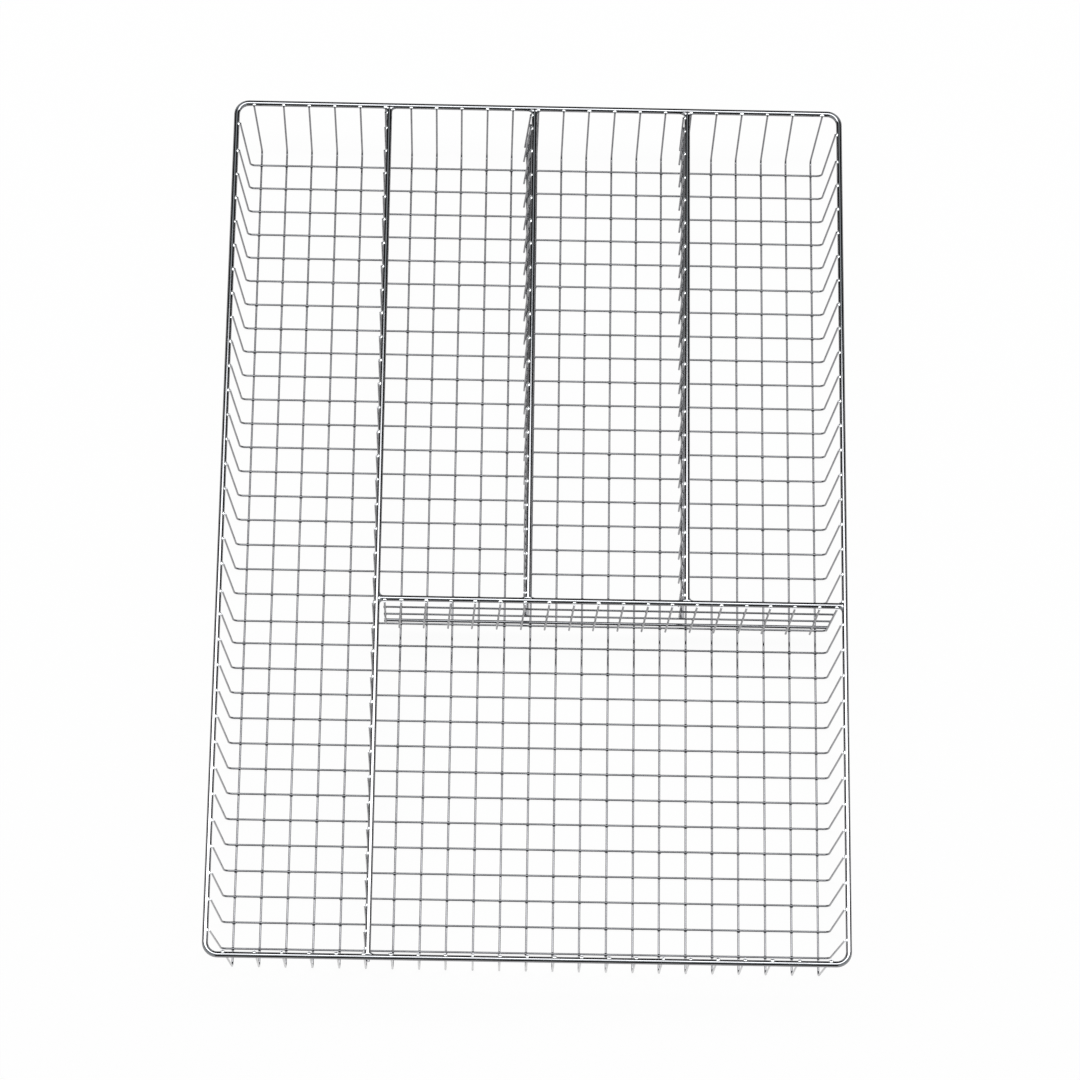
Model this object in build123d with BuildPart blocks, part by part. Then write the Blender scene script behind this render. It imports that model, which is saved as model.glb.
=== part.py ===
# Flatware tray of welded, chromed wire: a thick rim, a half-inch wire mesh folded up into the
# floor and the four walls, and four dividers that make five compartments.
# Millimetres. The origin is on the table under the tray's centre, +Z is up and -Y is the front.
import os
from math import atan, cos, floor, radians, sin, tan

from build123d import *

# Overall sizes
tray_width = 303.0  # over the rim, side to side
tray_length = 436.0  # over the rim, front to back
tray_height = 49.0  # from the table to the top of the rim
rim_corner = 6.0  # radius of the rim's corners, along the wire's centre
rim_turns = 6  # bends that make up one corner of the rim

# Wires
rim_wire = 2.8  # thickness of the rim and of the dividers' top wires, over the section's corners
rim_sides = 20  # flats on the section of such a thick wire, a multiple of four
mesh_wire = 1.0  # thickness of the thin wires, measured across the flats
base_wire = 1.6  # thickness of each divider's lowest rail, measured across the flats
mesh_sides = 8  # flats on the section of these wires

# Mesh of the floor and the walls
mesh_pitch = 12.7  # spacing of the wires, both ways
wall_taper = 3.0  # how far a wall leans out between the floor and the rim
wire_bend = 2.5  # radius of the bend between floor and wall, along the wire's centre
bend_turns = 3  # corners that make up one bend
tip_rise = 0.6  # a wire's tip stands this far above the centre of the wire it is welded to
corner_splay = 2.0  # the outermost wires' tips stand this far nearer to the corners than their feet

# Dividers
compartment_width = 76.2  # between neighbouring dividers, rounded to whole meshes
front_compartment = 165.0  # front cross wire to cross divider, rounded to whole meshes
cross_gap = 1.2  # the mesh wire behind the cross divider is drawn this far up to it
upright_pitch = 12.4  # spacing of the uprights in the long dividers
cross_upright_pitch = 11.8  # spacing of the uprights in the cross divider
rail_count = 3  # rails under each top wire, the lowest of them thicker
rail_pitch = 11.0  # spacing of the rails, counted down from the top wire
end_inset = 2.4  # end upright to the end of the top wire
end_room = 8.0  # least space between the other uprights and the end of the top wire
rail_overhang = 0.8  # a rail runs this far past the end uprights
panel_play = 0.02  # free space between the rails and the uprights
foot_height = 7.5  # the uprights stop this far above the table
centre_front_lean = -0.8  # the centre divider's feet swing this far to the left at its front end
centre_back_lean = 2.8  # and this far at its back end
cross_slant = 1.5  # the cross divider's uprights lean this far to the left at their feet

# Values worked out from the sizes above
rim_radius = rim_wire / 2
mesh_radius = mesh_wire / 2
base_radius = base_wire / 2
weld_reach = rim_radius + mesh_radius  # between the centres of a thick and a thin wire that touch
rim_half_width = tray_width / 2 - rim_radius
rim_half_length = tray_length / 2 - rim_radius
rim_level = tray_height - rim_radius
long_level = mesh_radius  # the long wires lie on the table
cross_level = long_level + mesh_wire  # the cross wires lie on the long ones
flat_turn = 180 / mesh_sides  # turns a section so that a flat faces along its own x axis


def wall_angle(level):
    # angle between a wall and the upright, for wires whose floor run lies at this level
    return atan(wall_taper / (rim_level - level))


def wall_face(rim_half, level):
    # point where a wall wire's centre line passes the rim's centre, as distance out and height
    lean = wall_angle(level)
    return rim_half - weld_reach * cos(lean), rim_level + weld_reach * sin(lean)


def wall_at(rim_half, level, height):
    # distance out of a wall wire's centre line at a height
    out, top = wall_face(rim_half, level)
    return out - (top - height) * tan(wall_angle(level))


def flat_half(rim_half, level):
    # half length of a wire's straight floor run
    turn = radians(90) - wall_angle(level)
    return wall_at(rim_half, level, level) - wire_bend * tan(turn / 2)


def bend_corners(centre, radius, first, turn, corners):
    # corners of the polygon that wraps an arc, from the angle first on through turn, in radians
    step = turn / corners
    reach = radius / cos(step / 2)
    angles = [first + (n + 0.5) * step for n in range(corners)]
    return [(centre[0] + reach * cos(a), centre[1] + reach * sin(a)) for a in angles]


def half_profile(rim_half, level):
    # right half of a folded wire, from the floor's bend up to the tip, as (distance out, height)
    lean = wall_angle(level)
    centre = (flat_half(rim_half, level), level + wire_bend)
    bend = bend_corners(centre, wire_bend, radians(-90), radians(90) - lean, bend_turns)
    out, top = wall_face(rim_half, level)
    return [*bend, (out + tip_rise * sin(lean), top + tip_rise * cos(lean))]


def folded_wire(plane, rim_half, level, splay=0.0):
    # one mesh wire in its plane: floor run, two bends and two wall runs, the tips splayed sideways
    *bend, tip = half_profile(rim_half, level)
    with BuildPart() as wire:
        with BuildLine(plane) as path:
            Polyline((0, level), *bend, (*tip, splay))
        with BuildSketch(Plane(path.line @ 0, x_dir=plane.z_dir, z_dir=path.line % 0)):
            RegularPolygon(mesh_radius, mesh_sides, major_radius=False, rotation=flat_turn)
        sweep(path=path.line, transition=Transition.RIGHT)
        mirror(about=Plane((0, 0, 0), z_dir=plane.x_dir))
    return wire.part


def mesh_places(rim_half, level):
    # centre lines of the wires that cross a floor run, spread evenly about the middle
    count = 2 * floor((flat_half(rim_half, level) - mesh_radius) / mesh_pitch) + 1
    return [(n - count // 2) * mesh_pitch for n in range(count)]


def save(part, name):
    part.label = name
    export_step(part, f"parts/{name}.step")


os.makedirs("parts", exist_ok=True)

# Rim: one thick wire bent into a rounded rectangle and welded shut in the middle of the right side
rim_points = [(rim_half_width, 0)]
for quarter, (right, back) in enumerate(((1, 1), (-1, 1), (-1, -1), (1, -1))):
    corner = (right * (rim_half_width - rim_corner), back * (rim_half_length - rim_corner))
    rim_points += bend_corners(corner, rim_corner, quarter * radians(90), radians(90), rim_turns)
with BuildPart() as rim:
    with BuildLine(Plane.XY.offset(rim_level)) as rim_path:
        Polyline(*rim_points, close=True)
    with BuildSketch(Plane((rim_half_width, 0, rim_level), x_dir=(1, 0, 0), z_dir=(0, 1, 0))):
        RegularPolygon(rim_radius, rim_sides)
    sweep(path=rim_path.line, transition=Transition.RIGHT)
save(rim.part, "rim")

# Mesh: long wires on the table, cross wires on top of them, all folded up at both ends
long_places = mesh_places(rim_half_width, cross_level)
cross_places = mesh_places(rim_half_length, long_level)
middle = len(long_places) // 2
columns = max(1, round(compartment_width / mesh_pitch))
rows = max(1, round(front_compartment / mesh_pitch))
cross_places[rows] -= cross_gap
long_wire = folded_wire(Plane.YZ, rim_half_length, long_level)
left_wire = folded_wire(Plane.YZ, rim_half_length, long_level, -corner_splay)
right_wire = folded_wire(Plane.YZ, rim_half_length, long_level, corner_splay)
cross_wire = folded_wire(Plane.XZ, rim_half_width, cross_level)
front_wire = folded_wire(Plane.XZ, rim_half_width, cross_level, corner_splay)
back_wire = folded_wire(Plane.XZ, rim_half_width, cross_level, -corner_splay)
long_shapes = [left_wire, *[long_wire] * (len(long_places) - 2), right_wire]
for number, (place, shape) in enumerate(zip(long_places, long_shapes), start=1):
    save(Pos(place, 0, 0) * shape, f"long_wire_{number:02d}")
with BuildPart() as cross_wires:
    with Locations([(0, place, 0) for place in cross_places[1:-1]]):
        add(cross_wire)
    with Locations((0, cross_places[0], 0)):
        add(front_wire)
    with Locations((0, cross_places[-1], 0)):
        add(back_wire)
save(cross_wires.part, "cross_wires")


def upright(depth, shift):
    # one upright in a divider's frame: x along the top wire, y out to the panel, z up the panel.
    # It ends at depth under the top wire's centre and leans by shift along the divider.
    fall = depth + tip_rise
    with BuildPart() as wire:
        with BuildSketch(Plane((0, weld_reach, tip_rise), x_dir=(1, 0, 0), z_dir=(0, 0, -1))):
            RegularPolygon(mesh_radius, mesh_sides, major_radius=False, rotation=flat_turn)
        extrude(amount=fall, dir=(shift, 0, -fall))
    return wire.part


def divider(name, start, end, pitch, walls, leans=(0.0, 0.0), slant=0.0):
    # Top wire from start to end at the rim's level, with a panel of uprights and rails hung on
    # its left side, as seen from start. walls says at which ends a tapered wall stands, and leans
    # how far the feet swing out to the left at the two ends.
    first = Vector(*start, rim_level)
    last = Vector(*end, rim_level)
    along = (last - first).normalized()
    length = (last - first).length
    drop = rim_level - foot_height

    def frame(place):
        # the divider's frame at a place along the top wire
        swing = atan((leans[0] + (leans[1] - leans[0]) * place / length) / drop)
        out = Vector(0, 0, 1).cross(along) * cos(swing) + Vector(0, 0, sin(swing))
        return Plane(first + along * place, x_dir=along, z_dir=along.cross(out))

    with BuildPart() as top:
        with BuildSketch(Plane(first, z_dir=along)):
            RegularPolygon(rim_radius, rim_sides)
        extrude(amount=length)
    save(top.part, f"{name}_top_wire")

    # the end uprights follow the walls and stop at the lowest rail
    slopes = [wall_taper / (rim_level - cross_level) if wall else 0.0 for wall in walls]
    end_depth = rail_count * rail_pitch + base_radius
    inner = upright(drop, slant)
    near_end = upright(end_depth, slopes[0] * (end_depth + tip_rise))
    far_end = upright(end_depth, -slopes[1] * (end_depth + tip_rise))
    spaces = floor((length - 2 * end_room) / pitch)
    places = [length / 2 + (n - spaces / 2) * pitch for n in range(spaces + 1)]
    with BuildPart() as uprights:
        with Locations([frame(place).location for place in places]):
            add(inner)
        with Locations(frame(end_inset).location):
            add(near_end)
        with Locations(frame(length - end_inset).location):
            add(far_end)
    save(uprights.part, f"{name}_uprights")

    with BuildPart() as rails:
        for rail in range(1, rail_count + 1):
            depth = rail * rail_pitch
            radius = base_radius if rail == rail_count else mesh_radius
            reach = weld_reach - mesh_radius - panel_play - radius
            near = end_inset + slopes[0] * (depth + tip_rise) - rail_overhang
            far = length - end_inset - slopes[1] * (depth + tip_rise) + rail_overhang
            head = frame(near).from_local_coords((0, reach, -depth))
            tail = frame(far).from_local_coords((0, reach, -depth))
            with BuildSketch(Plane(head, x_dir=frame(length / 2).y_dir, z_dir=tail - head)):
                RegularPolygon(radius, mesh_sides, major_radius=False, rotation=flat_turn)
            extrude(amount=(tail - head).length)
    save(rails.part, f"{name}_rails")


# Dividers: each touches a wall wire beside it
left_at = long_places[middle - columns] + weld_reach
centre_at = long_places[middle] - weld_reach
right_at = long_places[middle + columns] - weld_reach
cross_at = cross_places[rows] - weld_reach
inner_half_width = rim_half_width - rim_radius
inner_half_length = rim_half_length - rim_radius
cross_back = cross_at + rim_radius

divider(
    "left_divider", (left_at, -inner_half_length), (left_at, inner_half_length),
    upright_pitch, (True, True),
)
divider(
    "centre_divider", (centre_at, cross_back), (centre_at, inner_half_length),
    upright_pitch, (False, True), leans=(centre_front_lean, centre_back_lean),
)
divider(
    "right_divider", (right_at, cross_back), (right_at, inner_half_length),
    upright_pitch, (False, True),
)
divider(
    "cross_divider", (inner_half_width, cross_at), (left_at + rim_radius, cross_at),
    cross_upright_pitch, (True, False), slant=cross_slant,
)
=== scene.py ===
import math
import random

import bpy
from mathutils import Matrix, Vector


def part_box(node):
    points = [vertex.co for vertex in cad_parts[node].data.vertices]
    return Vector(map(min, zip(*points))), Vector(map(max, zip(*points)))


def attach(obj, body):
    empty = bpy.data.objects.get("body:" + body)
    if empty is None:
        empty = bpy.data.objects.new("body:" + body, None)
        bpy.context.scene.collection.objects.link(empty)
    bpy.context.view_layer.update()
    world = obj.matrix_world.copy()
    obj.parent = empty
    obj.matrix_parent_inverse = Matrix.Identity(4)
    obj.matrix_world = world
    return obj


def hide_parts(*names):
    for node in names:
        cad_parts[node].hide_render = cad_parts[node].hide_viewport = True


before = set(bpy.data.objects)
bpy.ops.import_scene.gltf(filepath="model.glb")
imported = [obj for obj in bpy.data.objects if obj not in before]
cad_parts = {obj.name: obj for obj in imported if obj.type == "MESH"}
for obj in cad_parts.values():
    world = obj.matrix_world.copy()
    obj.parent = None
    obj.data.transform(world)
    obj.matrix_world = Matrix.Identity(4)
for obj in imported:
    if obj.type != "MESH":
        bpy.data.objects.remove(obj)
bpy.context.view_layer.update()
scene = bpy.context.scene
scene.view_settings.view_transform = "Standard"
rootBody = "root"
up = Vector((0, 0, 1))
print("frame: %d solids' nodes" % len(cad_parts))


# Node helpers, for geometry, materials and the world alike

def addNode(tree, kind, **settings):
    node = tree.nodes.new(kind)
    for key, value in settings.items():
        setattr(node, key, value)
    return node


def fill(node, **values):  # sets sockets by their names, with _ for a blank
    for key, value in values.items():
        node.inputs[key.replace("_", " ")].default_value = value
    return node


def remap(tree, value, span, levels, **settings):  # carries a shader value from a span over to levels
    node = fill(addNode(tree, "ShaderNodeMapRange", **settings),
                From_Min=span[0], From_Max=span[1], To_Min=levels[0], To_Max=levels[1])
    tree.links.new(value, node.inputs["Value"])
    return node.outputs["Result"]


def newTree(name, inputs):
    tree = bpy.data.node_groups.new(name, "GeometryNodeTree")
    tree.interface.new_socket("Geometry", in_out="INPUT", socket_type="NodeSocketGeometry")
    for label, kind in inputs:
        tree.interface.new_socket(label, in_out="INPUT", socket_type="NodeSocket" + kind)
    tree.interface.new_socket("Geometry", in_out="OUTPUT", socket_type="NodeSocketGeometry")
    return tree, addNode(tree, "NodeGroupInput"), addNode(tree, "NodeGroupOutput")


def runTree(holder, tree, values):
    modifier = holder.modifiers.new(tree.name, "NODES")
    modifier.node_group = tree
    for item in tree.interface.items_tree:
        if item.in_out == "INPUT" and item.name in values:
            modifier[item.identifier] = values[item.name]
    scene.collection.objects.link(holder)
    bpy.context.view_layer.update()
    graph = bpy.context.evaluated_depsgraph_get()
    mesh = bpy.data.meshes.new_from_object(holder.evaluated_get(graph), depsgraph=graph)
    holder.modifiers.remove(modifier)
    bpy.data.objects.remove(holder)
    return mesh


def ringFaces(rings, sides):  # four-cornered faces from each ring of points to the next
    faces = []
    for ring in range(rings - 1):
        for k in range(sides):
            a, b = ring * sides + k, ring * sides + (k + 1) % sides
            faces.append((a, b, b + sides, a + sides))
    return faces


def joinMeshes(name, meshes):
    piece = bpy.data.objects.new(name, meshes[0])
    scene.collection.objects.link(piece)
    if len(meshes) > 1:
        rest = [bpy.data.objects.new(name + "More", mesh) for mesh in meshes[1:]]
        for other in rest:
            scene.collection.objects.link(other)
        with bpy.context.temp_override(active_object=piece, selected_editable_objects=[piece, *rest]):
            bpy.ops.object.join()
    piece.data.name = name
    return piece


def dress(piece, nodes=()):
    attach(piece, rootBody)
    if nodes:
        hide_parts(*nodes)
    piece.data.calc_loop_triangles()
    print("%s: %d triangles" % (piece.name, len(piece.data.loop_triangles)))


# Finishes

chromeLook = {
    "thickTone": (0.33, 0.33, 0.34),  # plated metal straight on
    "thinTone": (0.23, 0.23, 0.24),
    # the welds' tone, far brighter than the wires' plating, is a painted highlight on the weld beads
    "weldTone": (0.86, 0.86, 0.86),
    "thickGloss": (0.06, 0.14),  # roughness from clean to hazed
    "thinGloss": (0.07, 0.15),
    "weldGloss": (0.20, 0.32),
    "thickEdge": 0.15, "thinEdge": 1.0, "weldEdge": 1.0,  # how much of a glancing ray the plating mirrors; the thick wire's low value darkens its flanks, a painted shade for its dark outlines
    "hazeScale": 55.0, "hazeDetail": 4.0, "hazeRoughness": 0.6,  # patches in the plating, per metre
    "hazeSpan": (0.35, 0.7),  # noise from clean to hazed
    "grainScale": 900.0, "grainDetail": 2.0,  # fine ripple of drawn wire
    "grainBump": 0.04, "grainDepth": 0.0002,
    "toneSpread": 0.10,  # how much darker the hazed patches are
}


def plated(name, kind):
    look = chromeLook
    tone, edge = look[kind + "Tone"], look[kind + "Edge"]
    material = bpy.data.materials.new(name)
    material.use_nodes = True
    tree = material.node_tree
    shader = tree.nodes["Principled BSDF"]
    # the edge tint darkens glancing views; on the thick wires it paints shade on the flanks
    fill(shader, Metallic=1.0, Specular_Tint=(edge, edge, edge, 1))
    place = addNode(tree, "ShaderNodeTexCoord")
    haze = fill(addNode(tree, "ShaderNodeTexNoise"), Scale=look["hazeScale"],
                Detail=look["hazeDetail"], Roughness=look["hazeRoughness"])
    grain = fill(addNode(tree, "ShaderNodeTexNoise"), Scale=look["grainScale"], Detail=look["grainDetail"])
    for texture in (haze, grain):
        tree.links.new(place.outputs["Object"], texture.inputs["Vector"])
    rough = remap(tree, haze.outputs["Fac"], look["hazeSpan"], look[kind + "Gloss"])
    tree.links.new(rough, shader.inputs["Roughness"])
    ramp = addNode(tree, "ShaderNodeValToRGB")
    hazed = [c * (1 - look["toneSpread"]) for c in tone]
    for stop, position, shade in zip(ramp.color_ramp.elements, look["hazeSpan"], (tone, hazed)):
        stop.position = position
        stop.color = (*shade, 1)
    tree.links.new(haze.outputs["Fac"], ramp.inputs["Fac"])
    tree.links.new(ramp.outputs["Color"], shader.inputs["Base Color"])
    ripple = fill(addNode(tree, "ShaderNodeBump"), Strength=look["grainBump"], Distance=look["grainDepth"])
    tree.links.new(grain.outputs["Fac"], ripple.inputs["Height"])
    tree.links.new(ripple.outputs["Normal"], shader.inputs["Normal"])
    return material


thickChrome = plated("thickWireChrome", "thick")
thinChrome = plated("meshWireChrome", "thin")
# a brighter, rougher copy of the plating for the welds: a painted highlight
weldHighlightChrome = plated("weldHighlightChrome", "weld")


# Wire: round tube along each path, with rounded bends, repeated in a row

wireInputs = (
    ("Wire Radius", "Float"), ("Wire Sides", "Int"), ("Bend Radius", "Float"), ("Bend Steps", "Int"),
    ("Copies", "Int"), ("Step", "Vector"), ("Stray", "Float"), ("Seed", "Int"), ("Finish", "Material"),
)


def wireTree():
    tree, given, made = newTree("wireRow", wireInputs)
    link = tree.links.new
    bend = addNode(tree, "GeometryNodeFilletCurve", mode="POLY")
    bend.inputs["Limit Radius"].default_value = True
    section = addNode(tree, "GeometryNodeCurvePrimitiveCircle")
    tube = addNode(tree, "GeometryNodeCurveToMesh")
    tube.inputs["Fill Caps"].default_value = True
    link(given.outputs["Geometry"], bend.inputs["Curve"])
    link(given.outputs["Bend Radius"], bend.inputs["Radius"])
    link(given.outputs["Bend Steps"], bend.inputs["Count"])
    link(given.outputs["Wire Sides"], section.inputs["Resolution"])
    link(given.outputs["Wire Radius"], section.inputs["Radius"])
    link(bend.outputs["Curve"], tube.inputs["Curve"])
    link(section.outputs["Curve"], tube.inputs["Profile Curve"])
    corners = addNode(tree, "GeometryNodeInputMeshFaceNeighbors")  # cut ends stay flat, sides are smooth
    isSide = addNode(tree, "FunctionNodeCompare", data_type="INT", operation="EQUAL")
    isSide.inputs[3].default_value = 4  # corners of a side face
    smooth = addNode(tree, "GeometryNodeSetShadeSmooth")
    link(corners.outputs["Vertex Count"], isSide.inputs[2])
    link(tube.outputs["Mesh"], smooth.inputs[0])
    link(isSide.outputs["Result"], smooth.inputs["Shade Smooth"])
    row = addNode(tree, "GeometryNodeMeshLine", mode="OFFSET")
    link(given.outputs["Copies"], row.inputs["Count"])
    link(given.outputs["Step"], row.inputs["Offset"])
    place = addNode(tree, "GeometryNodeInstanceOnPoints")
    link(row.outputs["Mesh"], place.inputs["Points"])
    link(smooth.outputs[0], place.inputs["Instance"])
    along = addNode(tree, "ShaderNodeVectorMath", operation="NORMALIZE")
    chance = addNode(tree, "FunctionNodeRandomValue", data_type="FLOAT")
    back = addNode(tree, "ShaderNodeMath", operation="MULTIPLY")
    shift = addNode(tree, "ShaderNodeVectorMath", operation="SCALE")
    nudge = addNode(tree, "GeometryNodeTranslateInstances")
    chance.inputs[2].default_value = -1.0
    chance.inputs[3].default_value = 1.0
    link(given.outputs["Seed"], chance.inputs["Seed"])
    link(chance.outputs[1], back.inputs[0])
    link(given.outputs["Stray"], back.inputs[1])
    link(given.outputs["Step"], along.inputs[0])
    link(along.outputs["Vector"], shift.inputs[0])
    link(back.outputs["Value"], shift.inputs["Scale"])
    link(place.outputs["Instances"], nudge.inputs["Instances"])
    link(shift.outputs["Vector"], nudge.inputs["Translation"])
    real = addNode(tree, "GeometryNodeRealizeInstances")
    paint = addNode(tree, "GeometryNodeSetMaterial")
    link(nudge.outputs["Instances"], real.inputs["Geometry"])
    link(real.outputs["Geometry"], paint.inputs["Geometry"])
    link(given.outputs["Finish"], paint.inputs["Material"])
    link(paint.outputs["Geometry"], made.inputs["Geometry"])
    return tree


wireRow = wireTree()


def wires(paths, radius, sides, finish, closed=False, bend=0.0, bendSteps=6,
          copies=1, step=(0, 0, 0), stray=0.0, seed=1):
    curve = bpy.data.curves.new("path", "CURVE")
    curve.dimensions = "3D"
    for points in paths:
        spline = curve.splines.new("POLY")
        spline.points.add(len(points) - 1)
        spline.use_cyclic_u = closed
        for knot, point in zip(spline.points, points):
            knot.co = (*point, 1)
    values = {
        "Wire Radius": radius, "Wire Sides": sides, "Bend Radius": bend, "Bend Steps": bendSteps,
        "Copies": copies, "Step": step, "Stray": stray, "Seed": seed, "Finish": finish,
    }
    return runTree(bpy.data.objects.new("path", curve), wireRow, values)


# Rim: one thick wire round the top

rimMake = {"corner": 0.006, "cornerSteps": 10, "sides": 24}
rimLow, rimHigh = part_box("rim")
rimRadius = (rimHigh.z - rimLow.z) / 2
rimLevel = rimHigh.z - rimRadius
rimHalfX = rimHigh.x - rimRadius
rimHalfY = rimHigh.y - rimRadius
rimCorners = [(x * rimHalfX, y * rimHalfY, rimLevel) for x, y in ((1, 1), (-1, 1), (-1, -1), (1, -1))]
rimMesh = wires(
    [rimCorners], rimRadius, rimMake["sides"], thickChrome,
    closed=True, bend=rimMake["corner"], bendSteps=rimMake["cornerSteps"],
)
dress(joinMeshes("rimWire", [rimMesh]), ["rim"])


# Mesh: long wires on the table, cross wires on them, both folded up to the rim

meshMake = {
    "taper": 0.003, "bend": 0.0025, "bendSteps": 6, "sides": 12,
    "tipRise": 0.0006, "splay": 0.002, "stray": 0.00015, "longSeed": 11, "crossSeed": 14,
}
longNodes = sorted(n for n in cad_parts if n.startswith("long_wire_"))
secondLow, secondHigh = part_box(longNodes[1])
meshRadius = (secondHigh.x - secondLow.x) / 2
meshPitch = (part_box(longNodes[-2])[0].x - secondLow.x) / (len(longNodes) - 3)
weldReach = rimRadius + meshRadius  # centre of a thick wire to that of a thin one welded on
crossLow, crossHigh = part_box("cross_wires")
longLevel = secondLow.z + meshRadius
crossLevel = crossLow.z + meshRadius
crossHalf = round((crossHigh.y - meshRadius - meshMake["splay"]) / meshPitch)
longPlaces = [secondLow.x + meshRadius + (n - 1) * meshPitch for n in range(len(longNodes))]
crossPlaces = [n * meshPitch for n in range(-crossHalf, crossHalf + 1)]
drawnLow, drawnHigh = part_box("cross_divider_top_wire")
drawnAt = (drawnLow.y + drawnHigh.y) / 2 + weldReach  # the cross wire that is drawn up to the cross divider
drawnRow = min(range(len(crossPlaces)), key=lambda n: abs(crossPlaces[n] - drawnAt))
crossPlaces[drawnRow] = drawnAt


def wallLean(level):
    return math.atan(meshMake["taper"] / (rimLevel - level))


def foldPath(rimHalf, level):  # right half, as distance out and height: tip, then foot
    lean = wallLean(level)
    out = rimHalf - weldReach * math.cos(lean)
    top = rimLevel + weldReach * math.sin(lean)
    rise = meshMake["tipRise"]
    foot = (out - (top - level) * math.tan(lean), level)
    return (out + rise * math.sin(lean), top + rise * math.cos(lean)), foot


def foldedWires(name, nodes, rimHalf, level, spot, places, runs, seed):  # runs: evenly spaced rows
    make = meshMake
    tip, foot = foldPath(rimHalf, level)

    def path(at, splay):
        knots = [(splay, *tip), (0.0, *foot), (0.0, -foot[0], foot[1]), (splay, -tip[0], tip[1])]
        return [spot(at + aside, out, height) for aside, out, height in knots]

    step = Vector(spot(meshPitch, 0, 0))
    look = {"radius": meshRadius, "sides": make["sides"], "finish": thinChrome,
            "bend": make["bend"], "bendSteps": make["bendSteps"]}
    outer = [path(places[0], -make["splay"]), path(places[-1], make["splay"])]
    meshes = [wires(outer, **look)]
    for n, (start, stop) in enumerate(runs):
        meshes.append(wires([path(places[start], 0.0)], copies=stop - start, step=step,
                            stray=make["stray"], seed=seed + n, **look))
    dress(joinMeshes(name, meshes), nodes)


foldedWires(
    "longMeshWires", longNodes, rimHalfY, longLevel, lambda at, out, height: (at, out, height),
    longPlaces, [(1, len(longPlaces) - 1)], meshMake["longSeed"],
)
foldedWires(
    "crossMeshWires", ["cross_wires"], rimHalfX, crossLevel, lambda at, out, height: (out, at, height),
    crossPlaces, [(1, drawnRow), (drawnRow, drawnRow + 1), (drawnRow + 1, len(crossPlaces) - 1)],
    meshMake["crossSeed"],
)


# Sizes of the welds, whose places the dividers note as they are made

weldMake = {
    "tip": (0.0011, 0.00065, 0.00045),  # half sizes along the thick wire, across to the thin one, upwards
    "tipReach": 0.00105, "tipLift": 0.00075,  # from the thick wire's centre
    "tipTilt": 0.22,  # radians, towards the thin wire
    "crossing": (0.0008, 0.0008, 0.00042),  # half sizes along the wires and through them
    "rail": (0.0006, 0.0004, 0.0006),
    "tipSeed": 31, "crossingSeed": 32, "railSeed": 33, "stray": 0.15,  # how much the welds differ in size
    "beadDetail": 2, "beadRoot": -0.25,  # the power that squares a bead off
    "filletRadius": 0.0018, "filletSteps": 8, "filletSides": 20, "filletHeight": 0.97,
    "filletClose": 0.9,  # share of its width, and of the thick wire's radius, where a fillet ends
}


# Dividers: a thick top wire with a ladder of thin uprights and rails on its left, seen from its start

dividerMake = {
    "sides": 24, "thinSides": 10, "endInset": 0.0024, "endRoom": 0.008, "overhang": 0.0008, "play": 0.00002,
    "rails": 3, "railPitch": 0.011, "baseRadius": 0.0008, "baseSides": 14,
    "footHeight": 0.0075, "stray": 0.00025, "firstSeed": 20,
}
dividers = {
    "left": {"pitch": 0.0124, "walls": (1, 1), "leans": (0.0, 0.0), "slant": 0.0},
    "centre": {"pitch": 0.0124, "walls": (0, 1), "leans": (-0.0008, 0.0028), "slant": 0.0},
    "right": {"pitch": 0.0124, "walls": (0, 1), "leans": (0.0, 0.0), "slant": 0.0},
    "cross": {"pitch": 0.0118, "walls": (1, 0), "leans": (0.0, 0.0), "slant": 0.0015},
}
topWelds = []  # upright tips on the thick wires, as place, way along the thick wire and way out
railWelds = []  # upright and rail crossings


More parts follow.
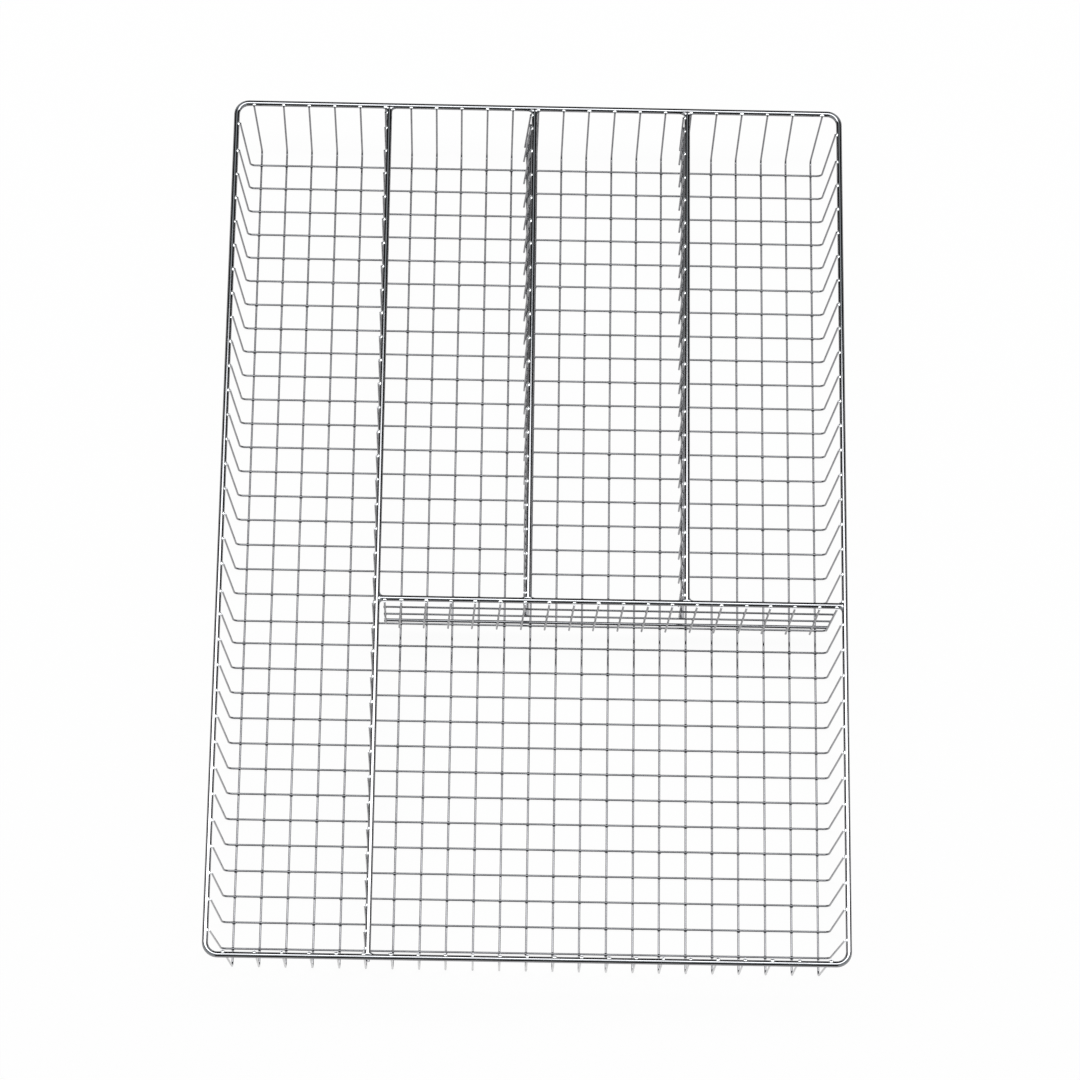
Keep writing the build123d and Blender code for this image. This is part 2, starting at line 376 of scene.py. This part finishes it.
def makeDivider(name, plan, seed):
    make = dividerMake
    chance = random.Random(seed)
    low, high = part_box(name + "_divider_top_wire")
    if name == "cross":
        first = Vector((high.x, (low.y + high.y) / 2, rimLevel))
        last = Vector((low.x, first.y, rimLevel))
    else:
        first = Vector(((low.x + high.x) / 2, low.y, rimLevel))
        last = Vector((first.x, high.y, rimLevel))
    along = (last - first).normalized()
    length = (last - first).length
    drop = rimLevel - make["footHeight"]
    leans = plan["leans"]
    topMesh = wires([[first, last]], rimRadius, make["sides"], thickChrome)
    dress(joinMeshes(name + "TopWire", [topMesh]), [name + "_divider_top_wire"])

    def hang(at, reach, depth):  # place on the panel: along, out from the top wire's centre and down
        swing = math.atan((leans[0] + (leans[1] - leans[0]) * at / length) / drop)
        out = up.cross(along) * math.cos(swing) + up * math.sin(swing)
        return first + along * at + out * reach - along.cross(out) * depth, out

    rise = meshMake["tipRise"]
    slopes = [wall * meshMake["taper"] / (rimLevel - crossLevel) for wall in plan["walls"]]
    spaces = math.floor((length - 2 * make["endRoom"]) / plan["pitch"])
    inner = [length / 2 + (n - spaces / 2) * plan["pitch"] for n in range(spaces + 1)]
    endDepth = make["rails"] * make["railPitch"] + make["baseRadius"]
    slant = plan["slant"] / (drop + rise)
    uprights = [(at + chance.uniform(-1, 1) * make["stray"], drop, slant) for at in inner]
    uprights += [(make["endInset"], endDepth, slopes[0]), (length - make["endInset"], endDepth, -slopes[1])]
    paths = []
    for at, depth, slope in uprights:
        foot, out = hang(at, weldReach, depth)
        paths.append([hang(at, weldReach, -rise)[0], foot + along * slope * (depth + rise)])
        topWelds.append((hang(at, weldMake["tipReach"], 0)[0], along, out))
    uprightMesh = wires(paths, meshRadius, make["thinSides"], thinChrome)
    dress(joinMeshes(name + "Uprights", [uprightMesh]), [name + "_divider_uprights"])

    railMeshes = []
    for rail in range(1, make["rails"] + 1):
        isBase = rail == make["rails"]
        radius, sides = (make["baseRadius"], make["baseSides"]) if isBase else (meshRadius, make["thinSides"])
        depth = rail * make["railPitch"]
        reach = weldReach - meshRadius - make["play"] - radius
        near = make["endInset"] + slopes[0] * (depth + rise) - make["overhang"]
        far = length - make["endInset"] - slopes[1] * (depth + rise) + make["overhang"]
        ends = [hang(near, reach, depth)[0], hang(far, reach, depth)[0]]
        railMeshes.append(wires([ends], radius, sides, thinChrome))
        for at, longest, slope in uprights:
            spot, out = hang(at, weldReach - meshRadius, depth)
            railWelds.append((spot + along * slope * (depth + rise), along, out))
    dress(joinMeshes(name + "Rails", railMeshes), [name + "_divider_rails"])
    return first, last, along


dividerLines = [
    makeDivider(name, plan, seed)
    for seed, (name, plan) in enumerate(dividers.items(), start=dividerMake["firstSeed"])
]


# Welds: squeezed metal where wires are resistance-welded together

spotInputs = (("Half Size", "Vector"), ("Stray", "Float"), ("Seed", "Int"), ("Finish", "Material"))


def spotTree():
    tree, given, made = newTree("weldSpots", spotInputs)
    link = tree.links.new
    bead = addNode(tree, "GeometryNodeMeshIcoSphere")
    bead.inputs["Radius"].default_value = 1.0
    bead.inputs["Subdivisions"].default_value = weldMake["beadDetail"]
    spot = addNode(tree, "GeometryNodeInputPosition")  # the ball is squared off, for flatter faces
    squares = addNode(tree, "ShaderNodeVectorMath", operation="MULTIPLY")
    total = addNode(tree, "ShaderNodeVectorMath", operation="DOT_PRODUCT")
    reach = addNode(tree, "ShaderNodeMath", operation="POWER")
    reach.inputs[1].default_value = weldMake["beadRoot"]
    pushed = addNode(tree, "ShaderNodeVectorMath", operation="SCALE")
    shaped = addNode(tree, "GeometryNodeSetPosition")
    for socket in (squares.inputs[0], squares.inputs[1], pushed.inputs[0]):
        link(spot.outputs["Position"], socket)
    for socket in (total.inputs[0], total.inputs[1]):
        link(squares.outputs["Vector"], socket)
    link(total.outputs["Value"], reach.inputs[0])
    link(reach.outputs["Value"], pushed.inputs["Scale"])
    link(bead.outputs["Mesh"], shaped.inputs["Geometry"])
    link(pushed.outputs["Vector"], shaped.inputs["Position"])
    smooth = addNode(tree, "GeometryNodeSetShadeSmooth")
    link(shaped.outputs["Geometry"], smooth.inputs[0])
    turnAttribute = addNode(tree, "GeometryNodeInputNamedAttribute", data_type="FLOAT_VECTOR")
    turnAttribute.inputs["Name"].default_value = "turn"
    chance = addNode(tree, "FunctionNodeRandomValue", data_type="FLOAT")
    least = addNode(tree, "ShaderNodeMath", operation="SUBTRACT")
    least.inputs[0].default_value = 1.0
    most = addNode(tree, "ShaderNodeMath", operation="ADD")
    most.inputs[0].default_value = 1.0
    link(given.outputs["Stray"], least.inputs[1])
    link(given.outputs["Stray"], most.inputs[1])
    link(least.outputs["Value"], chance.inputs[2])
    link(most.outputs["Value"], chance.inputs[3])
    link(given.outputs["Seed"], chance.inputs["Seed"])
    size = addNode(tree, "ShaderNodeVectorMath", operation="SCALE")
    link(given.outputs["Half Size"], size.inputs[0])
    link(chance.outputs[1], size.inputs["Scale"])
    place = addNode(tree, "GeometryNodeInstanceOnPoints")
    link(given.outputs["Geometry"], place.inputs["Points"])
    link(smooth.outputs[0], place.inputs["Instance"])
    link(turnAttribute.outputs["Attribute"], place.inputs["Rotation"])
    link(size.outputs["Vector"], place.inputs["Scale"])
    real = addNode(tree, "GeometryNodeRealizeInstances")
    paint = addNode(tree, "GeometryNodeSetMaterial")
    link(place.outputs["Instances"], real.inputs["Geometry"])
    link(real.outputs["Geometry"], paint.inputs["Geometry"])
    link(given.outputs["Finish"], paint.inputs["Material"])
    link(paint.outputs["Geometry"], made.inputs["Geometry"])
    return tree


weldSpots = spotTree()


def spots(kind, places, finish):
    mesh = bpy.data.meshes.new("spots")
    mesh.from_pydata([tuple(place) for place, along, side in places], [], [])
    turn = mesh.attributes.new("turn", "FLOAT_VECTOR", "POINT")
    for point, (place, along, side) in zip(turn.data, places):
        point.vector = Matrix((along, side, along.cross(side))).transposed().to_euler()
    values = {"Half Size": weldMake[kind], "Stray": weldMake["stray"], "Seed": weldMake[kind + "Seed"],
              "Finish": finish}
    return runTree(bpy.data.objects.new("spots", mesh), weldSpots, values)


def wallWelds():
    found = []
    for level, rimHalf, places, isLong in (
        (longLevel, rimHalfY, longPlaces, True),
        (crossLevel, rimHalfX, crossPlaces, False),
    ):
        out = rimHalf - weldMake["tipReach"] * math.cos(wallLean(level))
        tips = [places[0] - meshMake["splay"], *places[1:-1], places[-1] + meshMake["splay"]]
        for at in tips:
            for way in (-1, 1):
                spot = (at, way * out, rimLevel) if isLong else (way * out, at, rimLevel)
                run = Vector((1, 0, 0)) if isLong else Vector((0, 1, 0))
                inward = Vector((0, -way, 0)) if isLong else Vector((-way, 0, 0))
                found.append((Vector(spot) + up * weldMake["tipLift"], run, inward))
    return found


def floorCrossings():
    level = (longLevel + crossLevel) / 2
    places = [Vector((x, y, level)) for x in longPlaces for y in crossPlaces]
    return [(place, Vector((1, 0, 0)), Vector((0, 1, 0))) for place in places]


def filletMesh(end, way):  # weld between a thick wire's end and the thick wire that way points at
    make = weldMake
    radius = make["filletRadius"]
    across = up.cross(way)
    rings = []
    for n in range(make["filletSteps"] + 1):
        back = radius * n / make["filletSteps"]
        half = rimRadius + radius - math.sqrt(max(0.0, radius ** 2 - (radius - back) ** 2))
        rings.insert(0, (-back, half))
    rings.append((rimRadius * make["filletClose"], rings[-1][1] * make["filletClose"]))
    points = []
    sides = make["filletSides"]
    tall = rimRadius * make["filletHeight"]
    for reach, half in rings:
        for k in range(sides):
            turn = 2 * math.pi * k / sides
            points.append(end + way * reach + across * half * math.cos(turn) + up * tall * math.sin(turn))
    faces = ringFaces(len(rings), sides)
    faces.append(tuple(reversed(range(sides))))
    faces.append(tuple((len(rings) - 1) * sides + k for k in range(sides)))
    mesh = bpy.data.meshes.new("fillet")
    mesh.from_pydata(points, [], faces)
    mesh.materials.append(thickChrome)
    for face in mesh.polygons:
        face.use_smooth = len(face.vertices) == 4
    mesh.update()
    return mesh


def tilted(place, along, out):  # pad whose top leans out from the thick wire
    tilt = weldMake["tipTilt"]
    level = (out - up * out.dot(up)).normalized()
    side = level * math.cos(tilt) - up * math.sin(tilt)
    return place, side.cross(level * math.sin(tilt) + up * math.cos(tilt)), side


tipPlaces = wallWelds() + [(place + up * weldMake["tipLift"], along, out) for place, along, out in topWelds]
# the tip welds carry the painted highlight of the weld finish
tipMesh = spots("tip", [tilted(*spot) for spot in tipPlaces], weldHighlightChrome)
dress(joinMeshes("tipWelds", [tipMesh]))
crossMesh = spots("crossing", floorCrossings(), thinChrome)
railSpotMesh = spots("rail", railWelds, thinChrome)
dress(joinMeshes("crossingWelds", [crossMesh, railSpotMesh]))
filletMeshes = []
for first, last, along in dividerLines:
    filletMeshes += [filletMesh(first, -along), filletMesh(last, along)]
dress(joinMeshes("topWireWelds", filletMeshes))


# Stage: white floor, a pale room with two dark cards for the metal to mirror, a broad soft box overhead

stageMake = {
    "floorHalf": 8.0, "floorTone": 0.92, "whiteShare": 0.94,
    "roomRadius": 6.0, "roomSides": 64, "roomRows": 16, "roomFoot": 0.05,  # foot in rows above the floor
    "roomTint": (0.90, 0.97, 1.0), "roomOpen": 0.6,  # level beside the cards
    "cardLevels": (0.01, 1.0), "cardRise": (0.78, 0.97),  # dark below, white overhead, heights as shares
    "sideCard": (0.32, 0.24), "longCard": (0.0, 0.20), "cardSoft": 0.08,  # middle and half width, as shares
    "skyLevel": 0.35, "boxGlow": 5.4, "boxSize": (4.2, 0.95), "boxSpot": (0.0, 0.46, 2.15),
    "boxFade": (0.45, 1.0), "boxLevels": (1.0, 0.3),  # where the soft box fades, and from what to what
}


def seenDirectly(tree):  # 1 for rays that see the background itself
    rays = addNode(tree, "ShaderNodeLightPath")
    first = addNode(tree, "ShaderNodeMath", operation="MAXIMUM")
    both = addNode(tree, "ShaderNodeMath", operation="MAXIMUM")
    tree.links.new(rays.outputs["Is Camera Ray"], first.inputs[0])
    tree.links.new(rays.outputs["Is Glossy Ray"], first.inputs[1])
    tree.links.new(first.outputs["Value"], both.inputs[0])
    tree.links.new(rays.outputs["Is Transmission Ray"], both.inputs[1])
    return both.outputs["Value"]


def makeFloor():
    half = stageMake["floorHalf"]
    mesh = bpy.data.meshes.new("floor")
    corners = [(-half, -half, 0), (half, -half, 0), (half, half, 0), (-half, half, 0)]
    mesh.from_pydata(corners, [], [(0, 1, 2, 3)])
    floor = bpy.data.objects.new("floor", mesh)
    scene.collection.objects.link(floor)
    material = bpy.data.materials.new("paleFloor")
    material.use_nodes = True
    tree = material.node_tree
    tree.nodes.remove(tree.nodes["Principled BSDF"])
    matt = fill(addNode(tree, "ShaderNodeBsdfDiffuse"), Color=(*[stageMake["floorTone"]] * 3, 1))
    white = fill(addNode(tree, "ShaderNodeEmission"), Color=(1, 1, 1, 1), Strength=1.0)
    share = addNode(tree, "ShaderNodeMath", operation="MULTIPLY")
    share.inputs[1].default_value = stageMake["whiteShare"]
    mix = addNode(tree, "ShaderNodeMixShader")
    tree.links.new(seenDirectly(tree), share.inputs[0])
    tree.links.new(share.outputs["Value"], mix.inputs["Fac"])
    tree.links.new(matt.outputs["BSDF"], mix.inputs[1])
    tree.links.new(white.outputs["Emission"], mix.inputs[2])
    tree.links.new(mix.outputs["Shader"], tree.nodes["Material Output"].inputs["Surface"])
    mesh.materials.append(material)


def darkCard(tree, across, card):  # 1 on a strip of the room, 0 beside it
    radius = stageMake["roomRadius"]
    middle, half = card
    aside = addNode(tree, "ShaderNodeMath", operation="SUBTRACT")
    aside.inputs[1].default_value = radius * middle
    away = addNode(tree, "ShaderNodeMath", operation="ABSOLUTE")
    tree.links.new(across, aside.inputs[0])
    tree.links.new(aside.outputs["Value"], away.inputs[0])
    span = [radius * half, radius * (half + stageMake["cardSoft"])]
    return remap(tree, away.outputs["Value"], span, (1.0, 0.0), interpolation_type="SMOOTHSTEP")


def makeRoom():
    make = stageMake
    radius, sides = make["roomRadius"], make["roomSides"]
    points = []
    for row in range(make["roomRows"]):
        rise = math.pi / 2 * (row + make["roomFoot"]) / make["roomRows"]
        ring = radius * math.cos(rise)
        for k in range(sides):
            turn = 2 * math.pi * k / sides
            points.append((ring * math.cos(turn), ring * math.sin(turn), radius * math.sin(rise)))
    faces = ringFaces(make["roomRows"], sides)
    faces.append(tuple((make["roomRows"] - 1) * sides + k for k in range(sides)))
    mesh = bpy.data.meshes.new("mirrorRoom")
    mesh.from_pydata(points, [], faces)
    room = bpy.data.objects.new("mirrorRoom", mesh)
    scene.collection.objects.link(room)
    material = bpy.data.materials.new("mirrorRoom")
    material.use_nodes = True
    tree = material.node_tree
    tree.nodes.remove(tree.nodes["Principled BSDF"])
    place = addNode(tree, "ShaderNodeTexCoord")
    split = addNode(tree, "ShaderNodeSeparateXYZ")
    tree.links.new(place.outputs["Object"], split.inputs["Vector"])
    heights = [radius * share for share in make["cardRise"]]
    tone = remap(tree, split.outputs["Z"], heights, make["cardLevels"], interpolation_type="SMOOTHSTEP")
    cards = addNode(tree, "ShaderNodeMath", operation="MAXIMUM")
    tree.links.new(darkCard(tree, split.outputs["Y"], make["sideCard"]), cards.inputs[0])
    tree.links.new(darkCard(tree, split.outputs["X"], make["longCard"]), cards.inputs[1])
    level = fill(addNode(tree, "ShaderNodeMix", data_type="FLOAT"), A=make["roomOpen"])
    glow = fill(addNode(tree, "ShaderNodeEmission"), Color=(*make["roomTint"], 1))
    tree.links.new(cards.outputs["Value"], level.inputs["Factor"])
    tree.links.new(tone, level.inputs["B"])
    tree.links.new(level.outputs["Result"], glow.inputs["Strength"])
    tree.links.new(glow.outputs["Emission"], tree.nodes["Material Output"].inputs["Surface"])
    mesh.materials.append(material)
    room.visible_camera = False
    room.visible_diffuse = False
    room.visible_shadow = False


def makeLight():
    world = bpy.data.worlds.new("studio")
    scene.world = world
    world.use_nodes = True
    tree = world.node_tree
    sky = tree.nodes["Background"]
    fill(sky, Color=(1, 1, 1, 1), Strength=stageMake["skyLevel"])
    white = fill(addNode(tree, "ShaderNodeBackground"), Color=(1, 1, 1, 1), Strength=1.0)
    mix = addNode(tree, "ShaderNodeMixShader")
    tree.links.new(seenDirectly(tree), mix.inputs["Fac"])
    tree.links.new(sky.outputs["Background"], mix.inputs[1])
    tree.links.new(white.outputs["Background"], mix.inputs[2])
    tree.links.new(mix.outputs["Shader"], tree.nodes["World Output"].inputs["Surface"])
    lamp = bpy.data.lights.new("softBox", "AREA")
    lamp.shape = "ELLIPSE"
    lamp.size, lamp.size_y = stageMake["boxSize"]
    lamp.energy = stageMake["boxGlow"] * math.pi * (math.pi / 4 * lamp.size * lamp.size_y)
    lamp.use_nodes = True
    tree = lamp.node_tree
    where = addNode(tree, "ShaderNodeNewGeometry")
    split = addNode(tree, "ShaderNodeSeparateXYZ")
    tree.links.new(where.outputs["Parametric"], split.inputs["Vector"])
    level = remap(tree, split.outputs["Y"], stageMake["boxFade"], stageMake["boxLevels"])
    tree.links.new(level, tree.nodes["Emission"].inputs["Strength"])
    box = bpy.data.objects.new("softBox", lamp)
    scene.collection.objects.link(box)
    box.location = stageMake["boxSpot"]
    box.visible_camera = False


makeFloor()
makeRoom()
makeLight()
print("stage set")


# Camera: steeply down from the front, turned a little

cameraMake = {
    "spot": (-0.026349, -0.642264, 1.922209), "aim": (0.00425, 0.00555, 0.0),
    "roll": 3.58, "lens": 136.957, "sensor": 36.0,  # degrees, and millimetres
}


def makeCamera():
    data = bpy.data.cameras.new("camera")
    data.lens = cameraMake["lens"]
    data.sensor_width = cameraMake["sensor"]
    camera = bpy.data.objects.new("camera", data)
    scene.collection.objects.link(camera)
    spot = Vector(cameraMake["spot"])
    look = (Vector(cameraMake["aim"]) - spot).to_track_quat("-Z", "Y").to_matrix().to_4x4()
    roll = Matrix.Rotation(math.radians(cameraMake["roll"]), 4, "Z")
    camera.matrix_world = Matrix.Translation(spot) @ look @ roll
    scene.camera = camera


makeCamera()
print("tray dressed")
